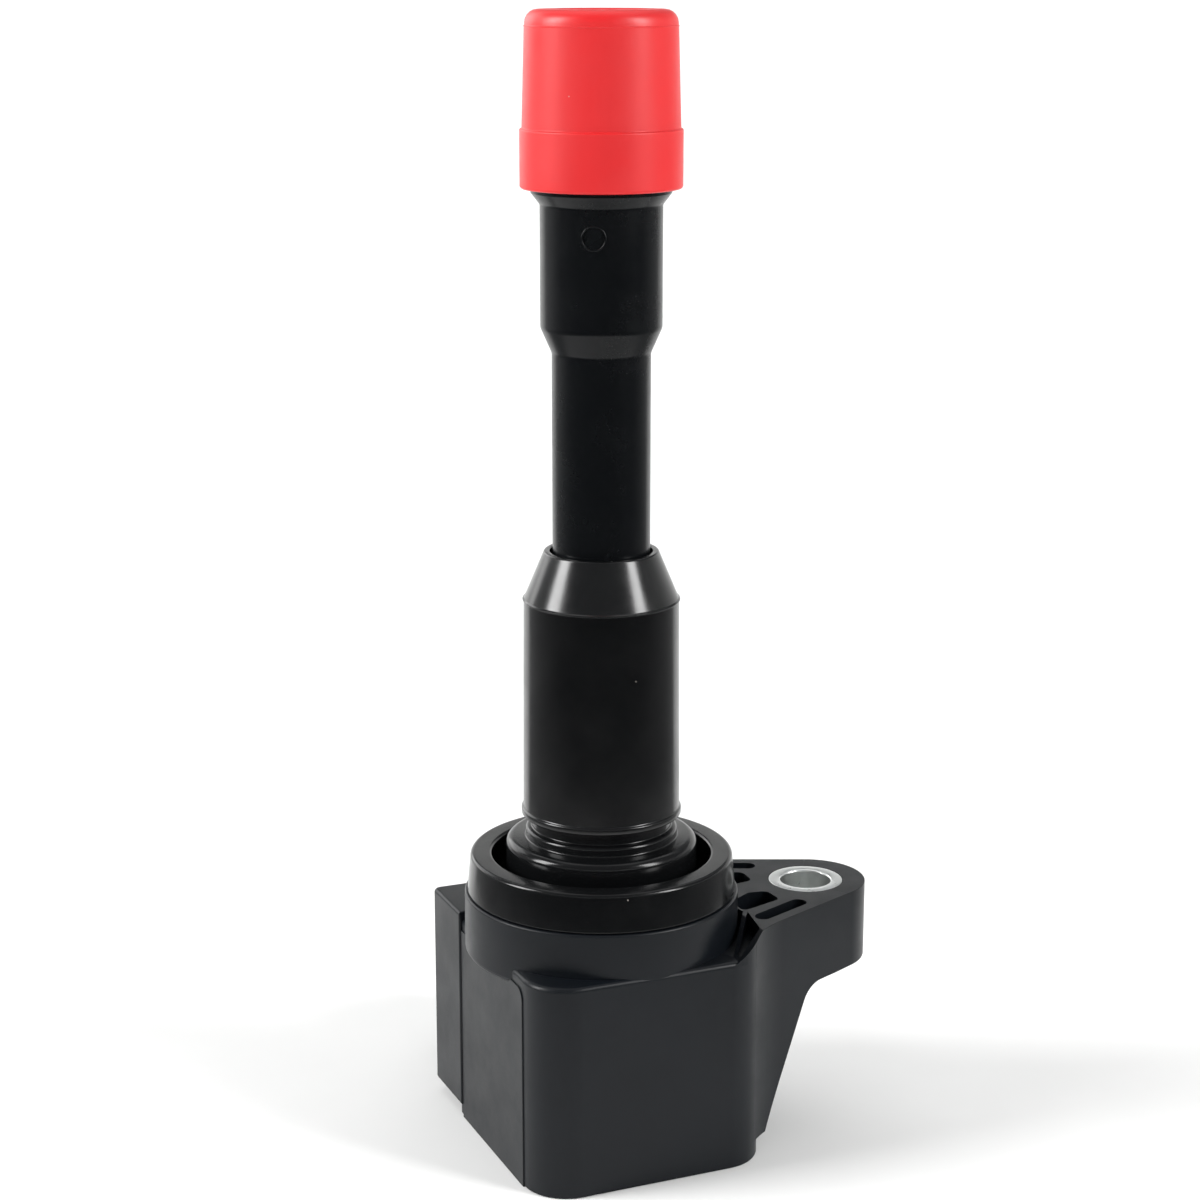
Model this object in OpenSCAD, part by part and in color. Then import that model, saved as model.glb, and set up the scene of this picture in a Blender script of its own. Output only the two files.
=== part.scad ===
// Coil-on-plug ignition coil, standing on the potted face of its head with the plug boot up.
// Origin: where the tube's axis meets the head's open face. +Z runs up the tube to the boot's
// mouth, +X towards the mounting ear, +Y towards the connector. Millimetres.

/* [Head] */
// From the tube's axis to the left wall
head_left = 16.35; // [15:0.05:20]
// From the tube's axis to the right wall, under the ear
head_right = 17; // [15.5:0.1:20]
// From the tube's axis to the front wall
head_front = 18.3; // [18:0.1:22]
// From the tube's axis to the rear wall, which carries the connector
head_back = 21.4; // [21:0.1:28]
// Height of the head's box at the front
head_h = 29.4; // [28.6:0.1:38]
// How far the rear part of the head stands above the front part
back_rise = 1; // [0.6:0.1:1.8]
// Thickness of the head's walls
head_wall = 2; // [1.6:0.1:2.4]
// Radius of the upright corners at the front
head_corner_r = 6; // [4:0.1:8]

/* [Mounting ear] */
// From the tube's axis to the bolt's axis
ear_reach = 31.1; // [28:0.1:38]
// How far the tip's round centre lies beyond the bolt
ear_beyond = 0.6; // [0:0.1:1.5]
// Radius of the ear's tip
ear_tip_r = 7.8; // [6.8:0.1:9.5]
// How far the ear's near side passes outside the centre of the head's round front corner
ear_flank = 4.57; // [3.8:0.01:5.2]
// How far the ear's top stands above the head's front part
ear_rise = 2.6; // [2:0.1:3.2]
// Thickness of the ear at the bolt
ear_t = 11; // [9:0.1:13]
// Clearance hole for the mounting bolt
bolt_bore_d = 7; // [5.5:0.1:8.4]
// Outside diameter of the metal bushing
bushing_d = 10.3; // [9.6:0.1:12]

/* [Collar and seal] */
// Outside radius of the collar at its top
collar_r = 18.45; // [17.6:0.05:20]
// Height of the collar above the head
collar_rise = 6; // [5:0.1:7]
// Height of the seal's ring above the collar
ring_rise = 5.3; // [4.4:0.1:6.4]
// Radius of the seal's inner pedestal
pedestal_r = 12.85; // [12:0.05:13.4]

/* [Barrel] */
// Radius of the barrel at its foot
barrel_r = 10.45; // [10:0.05:12.5]
// Length of the barrel up to the cone
barrel_len = 29.4; // [24.5:0.1:36]
// Length of the cone on top of the barrel
cone_len = 6.5; // [5:0.1:8]
// Radius of the cone at its top
cone_top_r = 7.45; // [7.3:0.05:8.8]

/* [Stem and tube] */
// Radius of the thin stem
stem_r = 6.4; // [6.1:0.05:6.9]
// Length of stem that shows above the cone
stem_show = 26; // [20:0.1:40]
// Radius of the thicker tube under the boot
tube_r = 7.85; // [7.4:0.05:8.3]
// Length of the thicker tube
tube_len = 15.6; // [12:0.1:22]

/* [Plug boot] */
// Length of the silicone boot
boot_len = 22.1; // [19:0.1:30]
// Radius of the band round the boot's foot
boot_band_r = 10.37; // [9.9:0.01:12]
// Height of that band
boot_band_h = 7.4; // [5:0.1:9]
// Bore that grips the spark plug's insulator
boot_bore_d = 10.4; // [9.6:0.1:11.2]

/* [Connector] */
// Inside width of the socket
socket_w = 15.6; // [14.4:0.1:18]
// Inside height of the socket
socket_h = 10.6; // [10:0.1:12.6]
// Depth of the socket
socket_depth = 14; // [12:0.1:17]
// Spacing of the three blades
blade_pitch = 5; // [4.2:0.1:5.6]

/* [Core and windings] */
// Width of the centre core
core_w = 8; // [6.5:0.1:8.6]
// Height of the core stack
core_h = 7; // [5.5:0.1:7.5]

/* [High-voltage path] */
// Length of the suppression resistor between its caps
resistor_len = 16; // [12:0.5:19]
// Mean radius of the contact spring
spring_r = 3; // [2.8:0.05:3.2]
// Turns of the contact spring
spring_turns = 16; // [12:1:20]

/* [Hidden] */
$fn = 96;

fit_gap = 0.05;       // between pieces that are pressed or moulded together
slip_gap = 0.4;       // round the plug contact, which slides
eps = 0.01;
cross = 0.03;         // lets round and straight sides cross cleanly where they would only touch

// Colours
BLACK = [0.10, 0.11, 0.12];
RUBBER = [0.07, 0.07, 0.08];
RED = [0.88, 0.20, 0.20];
ALUMINIUM = [0.80, 0.81, 0.80];
COPPER = [0.72, 0.36, 0.16];
STEEL = [0.50, 0.51, 0.53];
BRASS = [0.78, 0.66, 0.32];

// Heights up the tube
roof_t = 2.6;
roof_z = head_h - roof_t;
collar_foot_z = head_h - 2.4;
back_z = head_h + back_rise;
collar_z = head_h + collar_rise;
ring_z = collar_z + ring_rise;
pedestal_z = ring_z + 2.3;
neck_z = pedestal_z + 1.4;
barrel_z = neck_z + 1.8;
shoulder_z = barrel_z + barrel_len;
cone_z = shoulder_z + cone_len;
stem_z = cone_z + stem_show;
tube_foot_z = stem_z + 3.3;
tube_z = tube_foot_z + tube_len;
boot_z = tube_z + 2;
band_z = boot_z + boot_band_h;
top_z = boot_z + boot_len;

// Tower moulded on the head, which carries the seal and the barrel
tower_r = 7.6;
tower_bore_r = 3.7;
tower_z = barrel_z + 0.55 * barrel_len;
foot_h = 3;

// Seal
seal_plug_r = collar_r - 1.8;
trough_z = head_h + 3.1;
ring_inner_r = collar_r - 3.75;
ring_outer_r = collar_r - 0.95;
ring_foot_r = collar_r - 0.35;
ring_round = 1.2;
neck_r = 10.15;

// Plug end
stem_bore_r = 4.3;
spigot_r = 8.4;
spigot_bore_r = 5.8;
spigot_z = boot_z + 0.45 * boot_len;
lip_z = tube_z - 5;
lip_h = 1;
lip_r = 3.5;

// Head's inside
cavity_left = head_left - head_wall;
cavity_right = head_right - head_wall;
cavity_front = head_front - head_wall;
cavity_back = head_back - head_wall;
cavity_corner_r = head_corner_r - head_wall;
back_corner_r = 1;
potting_z = 0.8;
panel_proud = 0.25;
strip_proud = 0.4;
strip_y = 10.5;
strip_z = 1.8;

// Ear
ear_top_z = head_h + ear_rise;
ear_foot_z = ear_top_z - ear_t;
ear_tip_x = ear_reach + ear_beyond;
front_corner = [head_right - head_corner_r, head_corner_r - head_front];
// Angle between each side of the ear and its centre line, so that the near side meets that corner
corner_to_tip = [ear_tip_x, 0] - front_corner;
ear_taper = atan2(corner_to_tip[1], corner_to_tip[0]) - asin((ear_tip_r - ear_flank) / norm(corner_to_tip));
ear_normal = [sin(ear_taper), -cos(ear_taper)];
ear_along = [cos(ear_taper), sin(ear_taper)];
ear_inner_x = head_right - 6.5;
ear_root_x = head_right - 0.2;
ramp_x = head_right - 4.4;
gusset_foot_x = head_right + 1;
gusset_foot_z = 2.4;
gusset_slope = 24.3;
gusset_fillet_r = 3.5;
ear_pocket_z = ear_top_z - 8;
ear_skin = 1.3;
slot_w = 1.9;
slot_len = 0.31 * ear_reach;
slot_x = ear_root_x - 0.8;
// Corners of each inner pocket, from the ear's root and its centre line
inner_pocket = [[2.8, 4.4], [4.6, 3.1], [5.9, 3.3], [6.2, 5.2], [2.9, 6.4]];
inner_pocket_r = 0.9;
notch_inner_x = ear_inner_x - 3;
notch_sink = 0.3;
notch_skin = 0.3;
notch_from_y = -5;
rib_t = 0.5;
rib_root = [head_right + 0.45, -8.1];
rib_end = [head_right - 5, 1.9 - head_front];
rib_step = rib_t * [cos(31), -sin(31)];
near_root_y = ear_tip_r / cos(ear_taper) + (ear_tip_x - ear_root_x) * tan(ear_taper);
notch_root = [ear_root_x, notch_skin - near_root_y];
notch_end = [head_right - 4.7, 0.9 - head_front];

// Connector
connector_z = 0.47 * head_h;
socket_wall = 1.6;
socket_floor_t = 2;
socket_y = head_back + socket_floor_t;
mouth_y = socket_y + socket_depth;
blade_w = 2.3;
blade_t = 0.64;
blade_tip_y = mouth_y - 3;

// Transformer, with its core lying along X
diode_r = 1.3;
magnet_t = 0.8;
leg_t = 3.4;
core_len = 2 * (min(cavity_left, cavity_right) - 1 - leg_t) - magnet_t;
coil_half = core_len / 2 + 0.3;
window_half = core_len / 2 + magnet_t / 2;
primary_wall = 0.8;
primary_build = 1.6;
secondary_wall = 0.9;
secondary_build = 2.6;
winding_gap = 0.3;
primary_w = core_w + 2 * (primary_wall + primary_build);
primary_h = core_h + 2 * (primary_wall + primary_build);
secondary_w = primary_w + 2 * (winding_gap + secondary_wall);
secondary_h = primary_h + 2 * (winding_gap + secondary_wall);
winding_w = secondary_w + 2 * secondary_build;
winding_h = secondary_h + 2 * secondary_build;
flange_w = winding_w + 0.8;
flange_h = winding_h + 0.8;
flange_t = 0.8;
window_w = flange_w + 0.2;
core_y = window_w / 2 + leg_t + 0.3 - cavity_front;
core_z = roof_z - flange_h / 2 - 2 * diode_r - 0.6;

// Igniter
igniter_w = 15;
igniter_foot_z = core_z - 6.5;
igniter_top_z = core_z + 5.5;
blade_tail_z = igniter_top_z + 1.2;
spreader_y = core_y + window_w / 2 + leg_t + 0.5;
spreader_t = 0.8;
igniter_y = spreader_y + spreader_t;
igniter_t = 3;
tail_y = igniter_y + igniter_t + 0.1;
lead_r = 0.35;

// High-voltage path
hv_plate_z = core_z + flange_h / 2 + 0.6;
hv_plate_t = 1.2;
hv_plate_r = 4.2;
hv_post_r = 2;
diode_x = 7.8;
diode_len = 8;
diode_z = core_z + flange_h / 2 + diode_r + 0.1;
cap_r = tower_bore_r - 0.1;
cap_h = 3;
resistor_z = head_h + 3;
resistor_end_z = resistor_z + resistor_len;
spring_z = resistor_end_z + 1;
contact_seat_z = lip_z - 4;
contact_r = stem_bore_r - slip_gap;
wire_r = 0.35;

// Points along an arc, for turned outlines
function arc(centre, r, from, to, steps = 6) =
    [for (i = [0:steps]) let (a = from + (to - from) * i / steps) centre + r * [cos(a), sin(a)]];

function along_y(v) = [v[0], -v[1]];

// A flat rectangle with round corners, centred
module round_rect(w, h, r) {
    square([w - 2 * r, h], center = true);
    square([w, h - 2 * r], center = true);
    for (x = [-1, 1], y = [-1, 1])
        translate([x * (w / 2 - r), y * (h / 2 - r)]) circle(r);
}

// The head's outline: round corners at the front, tighter ones at the back
module head_outline(left, right, front, back, front_r, back_r) {
    translate([-left + front_r, -front]) square([left + right - 2 * front_r, front + back - back_r]);
    translate([-left, -front + front_r]) square([left + right, front + back - front_r - back_r]);
    translate([-left + back_r, back - 2 * back_r]) square([left + right - 2 * back_r, 2 * back_r]);
    for (x = [-left + front_r, right - front_r]) translate([x, -front + front_r]) circle(front_r);
    for (x = [-left + back_r, right - back_r]) translate([x, back - back_r]) circle(back_r);
}

// A round-cornered sleeve along X round the core's centre line
module core_sleeve(w, h, hole_w, hole_h, r, half_len) {
    translate([-half_len, core_y, core_z]) rotate([90, 0, 90]) linear_extrude(2 * half_len)
        difference() {
            round_rect(w, h, r);
            square([hole_w, hole_h], center = true);
        }
}

module block(from, to) {
    translate(from) cube(to - from);
}

// A tube, bored right through
module ring(z, h, outer_r, inner_r) {
    translate([0, 0, z]) difference() {
        cylinder(h = h, r = outer_r);
        translate([0, 0, -eps]) cylinder(h = h + 2 * eps, r = inner_r);
    }
}

// Plan of the ear: two tangents from the tip's circle back into the head
module ear_outline() {
    tip = [ear_tip_x, 0] + (ear_tip_r - cross) * ear_normal;
    root = tip - ear_along * (tip[0] - ear_inner_x) / ear_along[0];
    polygon([tip, along_y(tip), along_y(root), root]);
    translate([ear_tip_x, 0]) circle(ear_tip_r);
}

// Concave blend in plan where the ear's near side leaves the head's rounded corner
module ear_blend() {
    r = 8;
    run = sqrt(pow(head_corner_r + r, 2) - pow(ear_flank + r, 2));
    centre = front_corner + (ear_flank + r) * ear_normal + run * ear_along;
    difference() {
        polygon([front_corner, centre, centre - r * ear_normal]);
        translate(centre) circle(r + cross);
    }
}

// Side view of the ear with its gusset, as X and Z
module ear_profile() {
    tip_x = ear_tip_x + ear_tip_r + 1;
    slope_x = gusset_foot_x + (ear_foot_z - gusset_foot_z) * tan(gusset_slope);
    // The fillet sits in the corner between the ear's underside and the gusset's slope
    open_angle = 90 + gusset_slope;
    reach = gusset_fillet_r / tan(open_angle / 2);
    centre = [slope_x + reach, ear_foot_z - gusset_fillet_r];
    touch = [slope_x - reach * sin(gusset_slope), ear_foot_z - reach * cos(gusset_slope)];
    polygon([[ear_inner_x, gusset_foot_z], [gusset_foot_x, gusset_foot_z], [slope_x, ear_foot_z],
             [tip_x, ear_foot_z], [tip_x, ear_top_z], [ear_root_x, ear_top_z], [ramp_x, head_h],
             [ramp_x, head_h - 1], [ear_inner_x, head_h - 1]]);
    difference() {
        polygon([[slope_x, ear_foot_z], touch, centre, [centre[0], ear_foot_z]]);
        translate(centre) circle(gusset_fillet_r + cross);
    }
}

// Core-out pockets in the ear's top, the same on both sides of its centre line
module ear_pockets() {
    for (side = [-1, 1]) scale([1, side, 1]) translate([0, 0, ear_pocket_z]) linear_extrude(ear_t) {
        translate([slot_x, 0] - (ear_tip_x - ear_root_x) * [0, tan(ear_taper)])
            rotate(ear_taper) translate([0, -ear_tip_r + ear_skin]) {
                translate([slot_w / 2, 0]) square([slot_len - slot_w, slot_w]);
                for (x = [slot_w / 2, slot_len - slot_w / 2]) translate([x, slot_w / 2]) circle(slot_w / 2);
            }
    }
    for (side = [-1, 1]) scale([1, side, 1])
        translate([ear_root_x, 0, ear_pocket_z]) linear_extrude(ear_t)
            hull() {
                for (corner = inner_pocket) translate(corner) circle(r = inner_pocket_r, $fn = 24);
            }
}

// Notch between the collar and the ear's near skin, open down to the roof but for one thin rib
module ear_notch() {
    beside = [notch_inner_x, rib_end[1] - rib_t];
    translate([0, 0, head_h - notch_sink]) linear_extrude(ear_t) {
        polygon([[notch_inner_x, 0], [ear_root_x, notch_from_y], rib_root, rib_end, beside]);
        polygon([rib_root + rib_step, notch_root, notch_end, rib_end + rib_step]);
    }
}

module ear() {
    intersection() {
        translate([0, 0, gusset_foot_z - 1]) linear_extrude(ear_top_z - gusset_foot_z + 1) {
            ear_outline();
            ear_blend();
            translate(front_corner) circle(head_corner_r - cross);
        }
        rotate([90, 0, 0]) translate([0, 0, -2 * head_back]) linear_extrude(4 * head_back) ear_profile();
    }
}

module socket_shell() {
    translate([0, head_back - eps, connector_z]) rotate([-90, 0, 0])
        linear_extrude(mouth_y - head_back + eps)
            round_rect(socket_w + 2 * socket_wall, socket_h + 2 * socket_wall, 2.4);
    // Latch ramp and its two guide rails on top
    latch_y = mouth_y - 6;
    top = connector_z + socket_h / 2 + socket_wall;
    translate([-2.5, 0, 0]) rotate([90, 0, 90]) linear_extrude(5)
        polygon([[latch_y, top - 0.2], [latch_y, top + 1.6], [latch_y + 1, top + 1.6], [mouth_y - 1, top - 0.2]]);
    for (x = [-5.6, 4.4]) block([x, head_back - eps, top - 0.4], [x + 1.2, mouth_y - 2, top + 1]);
}

// The head's box, with the taller rear part that carries the connector
module head_box() {
    linear_extrude(head_h)
        head_outline(head_left, head_right, head_front, head_back, head_corner_r, back_corner_r);
    intersection() {
        linear_extrude(back_z)
            head_outline(head_left, head_right, head_front, head_back, head_corner_r, back_corner_r);
        block([-2 * head_left, strip_y, 0], [2 * head_right, 2 * head_back, back_z]);
    }
}

// Wall round the seal. It hangs over the head's left wall, and at the front it stays inside the wall
module collar() {
    difference() {
        translate([0, 0, collar_foot_z])
            cylinder(h = collar_z - collar_foot_z, r1 = collar_r + 0.2, r2 = collar_r);
        block([-2 * collar_r, -2 * head_front, 0], [2 * collar_r, fit_gap - head_front, head_h]);
    }
}

module case() {
    color(BLACK) difference() {
        union() {
            difference() {
                union() {
                    head_box();
                    ear();
                }
                ear_pockets();
                ear_notch();
            }
            // Proud panel and strip on the left wall
            block([-head_left - panel_proud, -head_front + head_corner_r, 0], [0, strip_y, collar_foot_z + 0.4]);
            block([-head_left - strip_proud, strip_y, strip_z], [0, head_back - back_corner_r, back_z]);
            collar();
            socket_shell();
            cylinder(h = tower_z, r = tower_r);
        }
        // The rear part's foot stops short of the front part's
        block([-2 * head_left, strip_y, -eps], [2 * head_right, 2 * head_back, strip_z]);
        // Open underside
        translate([0, 0, -eps]) linear_extrude(roof_z + eps)
            head_outline(cavity_left, cavity_right, cavity_front, cavity_back, cavity_corner_r, 1);
        // Seat of the seal inside the collar
        ring(head_h, collar_rise + eps, seal_plug_r + fit_gap, tower_r);
        cylinder(h = 2 * tower_z, r = tower_bore_r);
        translate([ear_reach, 0, -eps]) cylinder(h = 2 * head_h, r = bushing_d / 2 + fit_gap);
        // Connector's socket and the three slots that its blades pass through
        translate([0, socket_y, connector_z]) rotate([-90, 0, 0])
            linear_extrude(socket_depth + eps) round_rect(socket_w, socket_h, 1.2);
        for (i = [-1:1]) blade_slot(i * blade_pitch, cavity_back - eps, socket_y + eps);
    }
}

module blade_slot(x, from_y, to_y) {
    half_w = blade_w / 2 + fit_gap;
    half_t = blade_t / 2 + fit_gap;
    block([x - half_w, from_y, connector_z - half_t], [x + half_w, to_y, connector_z + half_t]);
}

module mount_bushing() {
    bevel = 0.25;
    color(ALUMINIUM) translate([ear_reach, 0, ear_foot_z]) rotate_extrude()
        polygon([[bolt_bore_d / 2, bevel], [bolt_bore_d / 2 + bevel, 0], [bushing_d / 2, 0],
                 [bushing_d / 2, ear_t], [bolt_bore_d / 2 + bevel, ear_t], [bolt_bore_d / 2, ear_t - bevel]]);
}

// Cast resin that fills the head round everything inside it
module potting() {
    margin = 0.1;
    color([0.13, 0.12, 0.11]) difference() {
        translate([0, 0, potting_z]) linear_extrude(roof_z - potting_z)
            head_outline(cavity_left - fit_gap, cavity_right - fit_gap, cavity_front - fit_gap,
                         cavity_back - fit_gap, cavity_corner_r, 1);
        block([-2 * head_left, strip_y, 0], [2 * head_right, 2 * head_back, strip_z + potting_z]);
        // Room for the core, the coils, the igniter, the terminals and the high-voltage end
        leg = window_half + leg_t + margin;
        leg_w = window_w / 2 + leg_t + margin;
        block([-leg, core_y - leg_w, core_z - core_h / 2 - margin], [leg, core_y + leg_w, core_z + core_h / 2 + margin]);
        block([-coil_half - margin, core_y - flange_w / 2 - margin, core_z - flange_h / 2 - margin],
              [coil_half + margin, core_y + flange_w / 2 + margin, core_z + flange_h / 2 + margin]);
        lead_x = coil_half + 1.6;
        block([-lead_x, -2, igniter_top_z - 2.2], [lead_x, igniter_y + igniter_t + margin, igniter_top_z + margin]);
        block([-igniter_w / 2 - 1.1, spreader_y - margin, igniter_foot_z - 1.1],
              [igniter_w / 2 + 1.1, cavity_back, blade_tail_z + 1.6]);
        block([-5, -6.4, core_z], [diode_x + diode_r + margin, 6.4, roof_z + eps]);
    }
}

// Rubber seal: a plug in the collar, a hollow ring above it and a pedestal round the tower
module seal_grommet() {
    bore_r = tower_r + fit_gap;
    color(RUBBER) rotate_extrude() polygon(concat(
        [[bore_r, head_h], [seal_plug_r, head_h], [seal_plug_r, collar_z], [ring_foot_r, collar_z]],
        arc([ring_outer_r - ring_round, ring_z - ring_round], ring_round, 0, 90),
        arc([ring_inner_r + 0.6, ring_z - 0.6], 0.6, 90, 180),
        [[ring_inner_r, trough_z], [pedestal_r, trough_z]],
        arc([pedestal_r - 1.4, pedestal_z - 1.4], 1.4, 0, 90),
        [[neck_r, pedestal_z], [neck_r, neck_z], [neck_r - 0.8, neck_z], [neck_r - 0.8, barrel_z],
         [bore_r, barrel_z]]));
}

module barrel_sleeve() {
    bore_r = tower_r + fit_gap;
    waist_r = stem_r + fit_gap;
    ledge_z = tower_z + foot_h + 2 * fit_gap;
    mouth_r = stem_r + 0.3;
    color(RUBBER) rotate_extrude() polygon([
        [bore_r, barrel_z], [barrel_r + 0.25, barrel_z], [barrel_r + 0.25, barrel_z + 0.7], [barrel_r, barrel_z + 1],
        [barrel_r - 0.2, shoulder_z - 0.2], [barrel_r - 0.05, shoulder_z], [barrel_r - 0.25, shoulder_z + 0.2],
        [cone_top_r + 0.12, cone_z - 0.3], [cone_top_r - 0.15, cone_z], [mouth_r, cone_z], [mouth_r, cone_z - 3],
        [waist_r, cone_z - 3.3], [waist_r, ledge_z], [bore_r, ledge_z]]);
}

module stem_tube() {
    foot_z = tower_z + fit_gap;
    color(BLACK) rotate_extrude() polygon([
        [stem_bore_r, foot_z], [tower_r, foot_z], [tower_r, foot_z + foot_h], [stem_r, foot_z + foot_h],
        [stem_r, stem_z], [stem_r + 0.35, stem_z + 0.7], [tube_r - 0.25, tube_foot_z - 0.6], [tube_r, tube_foot_z],
        [tube_r, tube_z], [tube_r + 1.15, boot_z - 0.5], [tube_r + 1.15, boot_z], [spigot_r, boot_z],
        [spigot_r, spigot_z - 0.5], [spigot_r - 0.5, spigot_z], [spigot_bore_r, spigot_z],
        [spigot_bore_r, lip_z + lip_h + 2], [lip_r, lip_z + lip_h], [lip_r, lip_z], [stem_bore_r, lip_z]]);
}

module boot_tip() {
    bore_r = boot_bore_d / 2;
    seat_r = spigot_r + fit_gap;
    crown_r = boot_band_r - 0.7;
    round_r = 2.2;
    color(RED) rotate_extrude() polygon(concat(
        [[seat_r, boot_z], [boot_band_r - 0.3, boot_z], [boot_band_r, boot_z + 0.3], [boot_band_r, band_z],
         [boot_band_r - 0.25, band_z + 0.1]],
        arc([crown_r - round_r, top_z - round_r], round_r, 5, 90),
        [[bore_r + 0.6, top_z], [bore_r, top_z - 0.6], [bore_r, spigot_z + fit_gap], [seat_r, spigot_z + fit_gap]]));
}

module centre_core() {
    color(STEEL) translate([-core_len / 2 - magnet_t / 2, core_y - core_w / 2, core_z - core_h / 2])
        cube([core_len, core_w, core_h]);
}

module core_magnet() {
    color([0.25, 0.25, 0.27]) translate([core_len / 2 - magnet_t / 2, core_y - core_w / 2, core_z - core_h / 2])
        cube([magnet_t, core_w, core_h]);
}

// Closed loop of laminations round the coils, lying flat
module outer_core() {
    color(STEEL) translate([0, core_y, core_z - core_h / 2]) linear_extrude(core_h) difference() {
        round_rect(2 * (window_half + leg_t), window_w + 2 * leg_t, 3);
        square([2 * window_half, window_w], center = true);
    }
}

module primary_bobbin() {
    w = core_w + 2 * primary_wall;
    h = core_h + 2 * primary_wall;
    color([0.85, 0.84, 0.78]) {
        core_sleeve(w, h, core_w, core_h, 0.5, coil_half - flange_t);
        for (x = [-coil_half, coil_half - flange_t]) translate([x + flange_t / 2, 0, 0])
            core_sleeve(primary_w, primary_h, core_w, core_h, 1, flange_t / 2);
    }
}

module primary_winding() {
    color(COPPER) core_sleeve(primary_w, primary_h, core_w + 2 * primary_wall, core_h + 2 * primary_wall,
                              1.6, coil_half - flange_t);
}

module secondary_bobbin() {
    hole_w = primary_w + 2 * winding_gap;
    hole_h = primary_h + 2 * winding_gap;
    sections = 6;
    color([0.86, 0.86, 0.82]) {
        core_sleeve(secondary_w, secondary_h, hole_w, hole_h, 0.5, coil_half);
        for (x = [-coil_half, coil_half - flange_t]) translate([x + flange_t / 2, 0, 0])
            core_sleeve(flange_w, flange_h, hole_w, hole_h, 2, flange_t / 2);
        for (i = [1:sections - 1]) translate([rib_x(i, sections), 0, 0])
            core_sleeve(winding_w - 2, winding_h - 2, hole_w, hole_h, 1.5, 0.25);
    }
}

function rib_x(i, sections) = -coil_half + flange_t + (2 * coil_half - 2 * flange_t) * i / sections;

module secondary_winding() {
    sections = 6;
    color([0.62, 0.27, 0.12]) difference() {
        core_sleeve(winding_w, winding_h, secondary_w, secondary_h, 2.2, coil_half - flange_t);
        for (i = [1:sections - 1]) translate([rib_x(i, sections), 0, 0])
            core_sleeve(winding_w - 2, winding_h - 2, secondary_w - 1, secondary_h - 1, 1.5, 0.25);
    }
}

// A wire through a list of corners
module wire(points, r) {
    for (i = [0:len(points) - 2]) {
        run = points[i + 1] - points[i];
        length = norm(run);
        translate(points[i]) rotate([0, acos(run[2] / length), atan2(run[1], run[0])])
            cylinder(h = length, r = r, $fn = 24);
    }
    for (i = [1:len(points) - 2]) translate(points[i]) sphere(r, $fn = 24);
}

module primary_leads() {
    z = igniter_top_z - 0.8;
    y = igniter_y + igniter_t / 2;
    for (side = [-1, 1])
        color(COPPER) wire([[side * coil_half, 1.7, z], [side * (coil_half + 0.8), 1.7, z],
                            [side * (coil_half + 0.8), y, z], [side * igniter_w / 2, y, z]], lead_r);
}

module igniter_module() {
    y = igniter_y + igniter_t / 2;
    color([0.12, 0.12, 0.13]) {
        block([-igniter_w / 2, igniter_y, igniter_foot_z], [igniter_w / 2, igniter_y + igniter_t, igniter_top_z]);
        for (i = [-1:1]) translate([i * blade_pitch - 0.4, 0, 0]) {
            block([0, y - 0.2, igniter_top_z - eps], [0.8, y + 0.2, blade_tail_z]);
            block([0, y - 0.2, blade_tail_z - 0.4], [0.8, tail_y, blade_tail_z]);
        }
    }
}

module igniter_heat_spreader() {
    color(ALUMINIUM) block([-igniter_w / 2 - 1, spreader_y, igniter_foot_z - 1],
                           [igniter_w / 2 + 1, spreader_y + spreader_t, igniter_top_z + 0.4]);
}

module terminal_holder() {
    half_w = blade_pitch + blade_w / 2 + 1.6;
    from_y = tail_y + blade_t + 0.2;
    color([0.3, 0.3, 0.31]) difference() {
        block([-half_w, from_y, connector_z - 3], [half_w, cavity_back - fit_gap, connector_z + 3]);
        for (i = [-1:1]) blade_slot(i * blade_pitch, from_y - eps, cavity_back);
    }
}

// One bent terminal: a blade in the socket, and a tail up to the igniter's lead
module terminal(x) {
    half_w = blade_w / 2;
    half_t = blade_t / 2;
    color(BRASS) {
        block([x - half_w, tail_y, connector_z - half_t], [x + half_w, blade_tip_y, connector_z + half_t]);
        block([x - half_w, tail_y, connector_z], [x + half_w, tail_y + blade_t, blade_tail_z + 0.6]);
    }
}

module supply_terminal() {
    terminal(-blade_pitch);
}

module ground_terminal() {
    terminal(0);
}

module trigger_terminal() {
    terminal(blade_pitch);
}

module hv_diode() {
    half = diode_len / 2;
    color([0.1, 0.1, 0.1]) {
        translate([diode_x, half, diode_z]) rotate([90, 0, 0]) cylinder(h = diode_len, r = diode_r, $fn = 48);
        wire([[diode_x, half, diode_z], [diode_x, half + 1.4, diode_z], [0, half + 1.4, diode_z],
              [0, hv_plate_r, diode_z]], 0.3);
        wire([[diode_x, -half, diode_z], [diode_x, -half - 1.4, diode_z],
              [diode_x, -half - 1.4, core_z + winding_h / 2]], 0.3);
    }
}

// Plate over the coil, with a post that carries the high voltage up the tower
module hv_terminal() {
    color(BRASS) translate([0, 0, hv_plate_z]) {
        cylinder(h = hv_plate_t, r = hv_plate_r);
        cylinder(h = resistor_z - cap_h - hv_plate_z, r = hv_post_r);
    }
}

module resistor_rod() {
    color([0.86, 0.84, 0.80]) translate([0, 0, resistor_z - cap_h + 1])
        cylinder(h = resistor_len + cap_h - 1, r = cap_r - 0.5);
}

module resistor_caps() {
    color(BRASS) for (upper = [0, 1])
        translate([0, 0, upper ? resistor_end_z + 1 : resistor_z - cap_h]) mirror([0, 0, upper])
            difference() {
                cylinder(h = cap_h, r = cap_r);
                translate([0, 0, 1]) cylinder(h = cap_h, r = cap_r - 0.5 + fit_gap);
            }
}

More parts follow.
